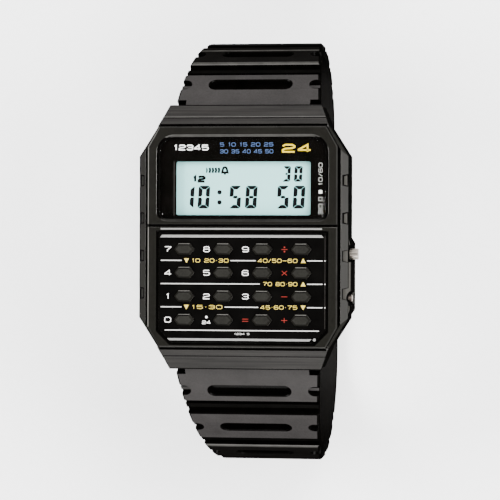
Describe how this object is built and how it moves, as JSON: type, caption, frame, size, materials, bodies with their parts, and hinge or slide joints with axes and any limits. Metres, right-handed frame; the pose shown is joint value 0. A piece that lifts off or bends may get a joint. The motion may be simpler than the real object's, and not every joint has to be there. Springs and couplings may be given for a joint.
{
  "type": "calculator watch",
  "caption": "Digital calculator watch with a resin case, a display window over a keypad, side pushers and a moulded strap with a steel buckle.",
  "frame": {"origin": "centre of the case back's outer face", "axes": "+Z out of the dial, +Y towards twelve o'clock, +X towards three o'clock"},
  "size_m": [0.0358, 0.0716, 0.0548],
  "materials": {
    "case_resin": "fine satin moulded resin",
    "bezel_resin": "satin moulded resin",
    "window_glass": "polished",
    "mask_black": "gloss black print",
    "plate_black": "satin black paint",
    "key_plastic": "satin",
    "mat_rubber": "matte silicone",
    "lcd_face": "smooth pale liquid crystal face",
    "zebra_rubber": "matte",
    "reflector_foil": "bright foil",
    "frame_plastic": "moulded",
    "board_green": "solder mask",
    "chip_resin": "cast resin",
    "crystal_can": "drawn can",
    "contact_steel": "sprung sheet",
    "coil_steel": "wire",
    "battery_steel": "plated",
    "buzzer_brass": "rolled sheet",
    "seal_rubber": "matte",
    "back_steel": "brushed along the case",
    "screw_steel": "turned",
    "pusher_steel": "ridged and polished",
    "bar_steel": "drawn",
    "strap_resin": "fine satin moulded resin",
    "buckle_steel": "brushed"
  },
  "bodies": {
    "case": {"case_shell": "case_resin", "front_bezel": "bezel_resin", "display_glass": "window_glass", "display_mask": "mask_black", "keypad_plate": "plate_black", "contact_mat": "mat_rubber", "lcd_cell": "lcd_face", "zebra_strips": "zebra_rubber", "lcd_reflector": "reflector_foil", "module_frame": "frame_plastic", "circuit_board": "board_green", "chip": "chip_resin", "quartz_crystal": "crystal_can", "side_contacts": "contact_steel", "battery_holder": "frame_plastic", "battery": "battery_steel", "battery_clip": "contact_steel", "buzzer_disc": "buzzer_brass", "buzzer_spring": "coil_steel", "back_gasket": "seal_rubber", "case_back": "back_steel", "back_screws": "screw_steel", "mode_pusher_seal": "seal_rubber", "mode_pusher_spring": "coil_steel", "adjust_pusher_seal": "seal_rubber", "adjust_pusher_spring": "coil_steel", "spring_bar_upper": "bar_steel", "spring_bar_lower": "bar_steel"},
    "key_7": {"key_7": "key_plastic"},
    "key_8": {"key_8": "key_plastic"},
    "key_9": {"key_9": "key_plastic"},
    "key_divide": {"key_divide": "key_plastic"},
    "key_4": {"key_4": "key_plastic"},
    "key_5": {"key_5": "key_plastic"},
    "key_6": {"key_6": "key_plastic"},
    "key_times": {"key_times": "key_plastic"},
    "key_1": {"key_1": "key_plastic"},
    "key_2": {"key_2": "key_plastic"},
    "key_3": {"key_3": "key_plastic"},
    "key_minus": {"key_minus": "key_plastic"},
    "key_0": {"key_0": "key_plastic"},
    "key_point": {"key_point": "key_plastic"},
    "key_equals": {"key_equals": "key_plastic"},
    "key_plus": {"key_plus": "key_plastic"},
    "mode_pusher": {"mode_pusher": "pusher_steel", "mode_pusher_clip": "contact_steel"},
    "adjust_pusher": {"adjust_pusher": "pusher_steel", "adjust_pusher_clip": "contact_steel"},
    "strap_upper": {"strap_upper": "strap_resin"},
    "strap_lower": {"strap_lower": "strap_resin"},
    "strap_keeper": {"strap_keeper": "strap_resin"},
    "buckle": {"buckle_frame": "buckle_steel", "buckle_pin": "bar_steel"},
    "tongue": {"buckle_tongue": "buckle_steel"}
  },
  "joints": [
    {"name": "key_7_press", "type": "slide", "parent": "case", "child": "key_7", "axis": [0, 0, -1], "range_m": [0, 0.0004], "stiffness_N_per_m": 500},
    {"name": "key_8_press", "type": "slide", "parent": "case", "child": "key_8", "axis": [0, 0, -1], "range_m": [0, 0.0004], "stiffness_N_per_m": 500},
    {"name": "key_9_press", "type": "slide", "parent": "case", "child": "key_9", "axis": [0, 0, -1], "range_m": [0, 0.0004], "stiffness_N_per_m": 500},
    {"name": "key_divide_press", "type": "slide", "parent": "case", "child": "key_divide", "axis": [0, 0, -1], "range_m": [0, 0.0004], "stiffness_N_per_m": 500},
    {"name": "key_4_press", "type": "slide", "parent": "case", "child": "key_4", "axis": [0, 0, -1], "range_m": [0, 0.0004], "stiffness_N_per_m": 500},
    {"name": "key_5_press", "type": "slide", "parent": "case", "child": "key_5", "axis": [0, 0, -1], "range_m": [0, 0.0004], "stiffness_N_per_m": 500},
    {"name": "key_6_press", "type": "slide", "parent": "case", "child": "key_6", "axis": [0, 0, -1], "range_m": [0, 0.0004], "stiffness_N_per_m": 500},
    {"name": "key_times_press", "type": "slide", "parent": "case", "child": "key_times", "axis": [0, 0, -1], "range_m": [0, 0.0004], "stiffness_N_per_m": 500},
    {"name": "key_1_press", "type": "slide", "parent": "case", "child": "key_1", "axis": [0, 0, -1], "range_m": [0, 0.0004], "stiffness_N_per_m": 500},
    {"name": "key_2_press", "type": "slide", "parent": "case", "child": "key_2", "axis": [0, 0, -1], "range_m": [0, 0.0004], "stiffness_N_per_m": 500},
    {"name": "key_3_press", "type": "slide", "parent": "case", "child": "key_3", "axis": [0, 0, -1], "range_m": [0, 0.0004], "stiffness_N_per_m": 500},
    {"name": "key_minus_press", "type": "slide", "parent": "case", "child": "key_minus", "axis": [0, 0, -1], "range_m": [0, 0.0004], "stiffness_N_per_m": 500},
    {"name": "key_0_press", "type": "slide", "parent": "case", "child": "key_0", "axis": [0, 0, -1], "range_m": [0, 0.0004], "stiffness_N_per_m": 500},
    {"name": "key_point_press", "type": "slide", "parent": "case", "child": "key_point", "axis": [0, 0, -1], "range_m": [0, 0.0004], "stiffness_N_per_m": 500},
    {"name": "key_equals_press", "type": "slide", "parent": "case", "child": "key_equals", "axis": [0, 0, -1], "range_m": [0, 0.0004], "stiffness_N_per_m": 500},
    {"name": "key_plus_press", "type": "slide", "parent": "case", "child": "key_plus", "axis": [0, 0, -1], "range_m": [0, 0.0004], "stiffness_N_per_m": 500},
    {"name": "mode_pusher_press", "type": "slide", "parent": "case", "child": "mode_pusher", "axis": [-1, 0, 0], "range_m": [0, 0.0006], "stiffness_N_per_m": 800, "deforming": ["mode_pusher_spring"]},
    {"name": "adjust_pusher_press", "type": "slide", "parent": "case", "child": "adjust_pusher", "axis": [-1, 0, 0], "range_m": [0, 0.0004], "stiffness_N_per_m": 800, "deforming": ["adjust_pusher_spring"]},
    {"name": "strap_upper_hinge", "type": "hinge", "parent": "case", "child": "strap_upper", "pos_m": [0, 0.0194, 0.0024], "axis": [1, 0, 0], "range_deg": [-15, 28]},
    {"name": "strap_lower_hinge", "type": "hinge", "parent": "case", "child": "strap_lower", "pos_m": [0, -0.0194, 0.0024], "axis": [-1, 0, 0], "range_deg": [-8, 28]},
    {"name": "keeper_slide", "type": "slide", "parent": "strap_upper", "child": "strap_keeper", "axis": [0, 1, 0], "range_m": [-0.0046, 0.004]},
    {"name": "buckle_hinge", "type": "hinge", "parent": "strap_upper", "child": "buckle", "pos_m": [0, 0.0033, -0.03246], "axis": [1, 0, 0], "range_deg": [-60, 45]},
    {"name": "tongue_hinge", "type": "hinge", "parent": "buckle", "child": "tongue", "pos_m": [0, 0.0033, -0.03246], "axis": [1, 0, 0], "range_deg": [0, 45]}
  ]
}
